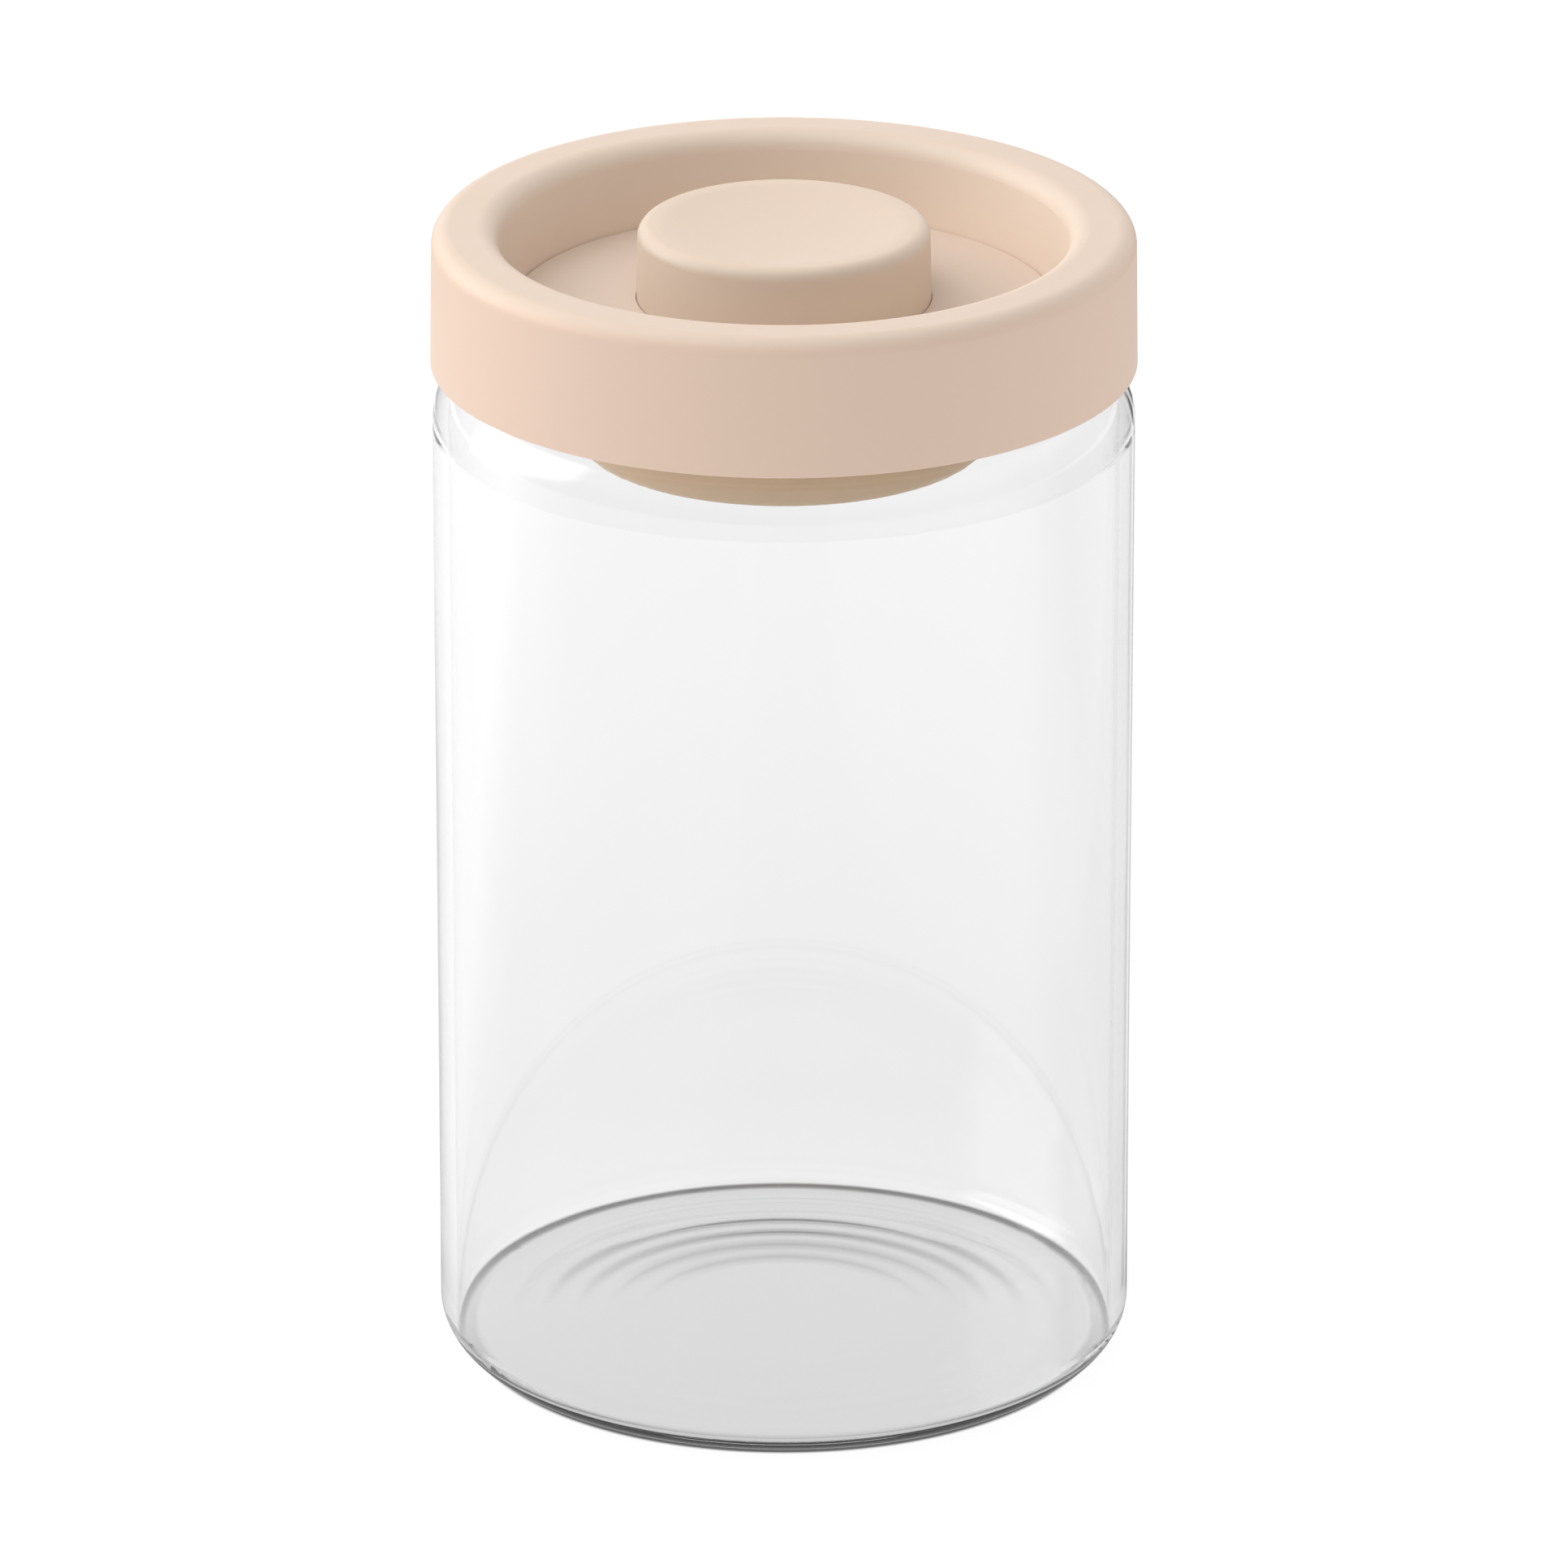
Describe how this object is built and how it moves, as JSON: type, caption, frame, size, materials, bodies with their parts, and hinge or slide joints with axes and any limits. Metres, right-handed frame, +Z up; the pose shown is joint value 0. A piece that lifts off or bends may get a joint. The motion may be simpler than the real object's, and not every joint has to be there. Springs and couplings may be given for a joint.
{
  "type": "vacuum seal canister",
  "caption": "Round glass storage jar with a press-pump vacuum lid: a wide ring rim, a recessed deck and a dished knob that pumps when pressed and vents when turned.",
  "frame": {"origin": "centre of the jar's foot, on the surface that it stands on", "axes": "+Z up along the jar's axis, +Y to the back, +X to the right"},
  "size_m": [0.1004, 0.1004, 0.1696],
  "materials": {
    "glass": "clear blown glass, polished",
    "lid_plastic": "beige polypropylene with a fine matt texture",
    "deck_plastic": "beige polypropylene, slightly pinker, matt",
    "knob_plastic": "beige polypropylene with a fine matt texture",
    "pump_plastic": "beige polypropylene, matt",
    "inner_plastic": "natural acetal, matt",
    "silicone": "translucent white silicone rubber",
    "felt": "white filter felt",
    "steel": "stainless steel, drawn or turned"
  },
  "bodies": {
    "jar": {"glass_jar": "glass"},
    "lid": {"lid_shell": "lid_plastic", "deck_plate": "deck_plastic", "pump_housing": "pump_plastic", "jar_gasket": "silicone", "shell_screws": "steel", "inlet_valve": "silicone", "inlet_filter": "felt", "filter_cap": "pump_plastic", "return_spring": "steel", "vent_spring": "steel"},
    "release": {"release_ring": "inner_plastic"},
    "plunger": {"knob_cap": "knob_plastic", "knob_screws": "steel", "piston": "inner_plastic", "piston_seal": "silicone", "exhaust_valve": "silicone"},
    "vent": {"vent_lifter": "inner_plastic", "vent_plug": "silicone"}
  },
  "joints": [
    {"name": "lid_lift", "type": "slide", "parent": "jar", "child": "lid", "axis": [0, 0, 1], "range_m": [0, 0.06]},
    {"name": "knob_turn", "type": "hinge", "parent": "lid", "child": "release", "pos_m": [0, 0, 0.1513], "axis": [0, 0, 1], "range_deg": [0, 45]},
    {"name": "knob_press", "type": "slide", "parent": "release", "child": "plunger", "axis": [0, 0, -1], "range_m": [0, 0.006], "stiffness_N_per_m": 1200, "springref_m": -0.005, "deforming": ["return_spring"]},
    {"name": "vent_lift", "type": "slide", "parent": "lid", "child": "vent", "axis": [0, 0, 1], "range_m": [0, 0.0012], "deforming": ["vent_spring"]}
  ],
  "couplings": [
    {"joint": "vent_lift", "follows": "knob_turn", "m_per_rad": 0.001527}
  ]
}
